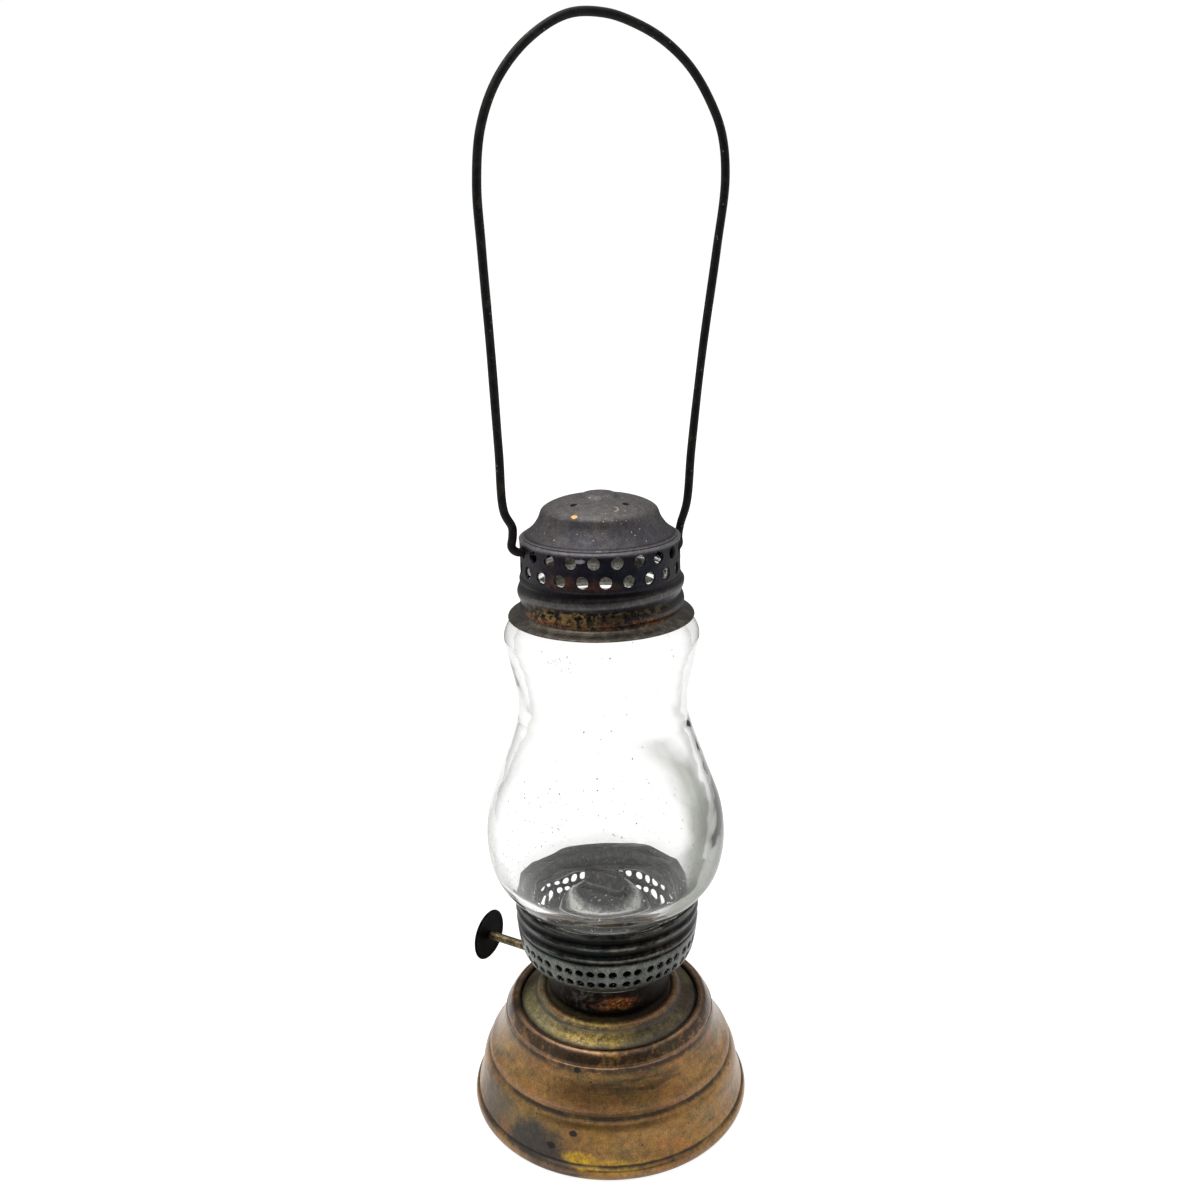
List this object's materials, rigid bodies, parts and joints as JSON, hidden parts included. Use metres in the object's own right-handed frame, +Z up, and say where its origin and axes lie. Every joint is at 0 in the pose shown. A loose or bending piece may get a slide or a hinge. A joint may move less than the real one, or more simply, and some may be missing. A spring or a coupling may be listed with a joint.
{
  "type": "oil lamp",
  "caption": "Small brass skater's lantern: spun oil font, screw-on wick burner with pierced gallery, clear glass globe, pierced screw cap and a hinged wire bail.",
  "frame": {"origin": "centre of the ring that the lamp stands on, on the lamp's own axis", "axes": "+Z up along the lamp's axis, -Y towards the front, +X to the right as seen from the front"},
  "size_m": [0.072, 0.072, 0.2636],
  "materials": {
    "aged_brass": "aged, brown with golden wear",
    "dark_brass": "dark patina, satin",
    "grey_brass": "grey-green patina, satin",
    "black_wire": "black oxidised wire, satin",
    "cotton": "woven cotton",
    "clear_glass": "clear, faintly green"
  },
  "bodies": {
    "font": {"font_side": "aged_brass", "font_top": "aged_brass", "font_bottom": "dark_brass", "font_bushing": "aged_brass"},
    "burner": {"burner_spigot": "aged_brass", "burner_neck": "dark_brass", "gallery": "grey_brass", "air_disc": "grey_brass", "wick_tube": "aged_brass", "deflector": "grey_brass", "shaft_bush": "aged_brass"},
    "wick_shaft": {"wick_shaft": "aged_brass", "thumbwheel": "dark_brass", "sprocket_1": "aged_brass", "sprocket_2": "aged_brass"},
    "wick": {"wick": "cotton"},
    "globe": {"globe": "clear_glass"},
    "cap": {"cap_collar": "dark_brass", "cap_band": "dark_brass", "cap_dome": "dark_brass"},
    "bail": {"bail": "black_wire"}
  },
  "joints": [
    {"name": "burner_lift", "type": "slide", "parent": "font", "child": "burner", "axis": [0, 0, 1], "range_m": [0, 0.045]},
    {"name": "wick_turn", "type": "hinge", "parent": "burner", "child": "wick_shaft", "pos_m": [-0.00185, -0.0032, 0.037], "axis": [0.866, -0.5, 0], "range_deg": [-110, 150]},
    {"name": "wick_raise", "type": "slide", "parent": "burner", "child": "wick", "axis": [0, 0, 1], "range_m": [-0.0052, 0.0071]},
    {"name": "globe_lift", "type": "slide", "parent": "burner", "child": "globe", "axis": [0, 0, 1], "range_m": [0, 0.02]},
    {"name": "cap_lift", "type": "slide", "parent": "globe", "child": "cap", "axis": [0, 0, 1], "range_m": [0, 0.016]},
    {"name": "bail_swing", "type": "hinge", "parent": "cap", "child": "bail", "pos_m": [-0.0008, 0.0012, 0.14745], "axis": [0.9076, 0.4041, -0.1142], "range_deg": [-134, 134]}
  ],
  "couplings": [
    {"joint": "wick_raise", "follows": "wick_turn", "m_per_rad": 0.0027}
  ]
}
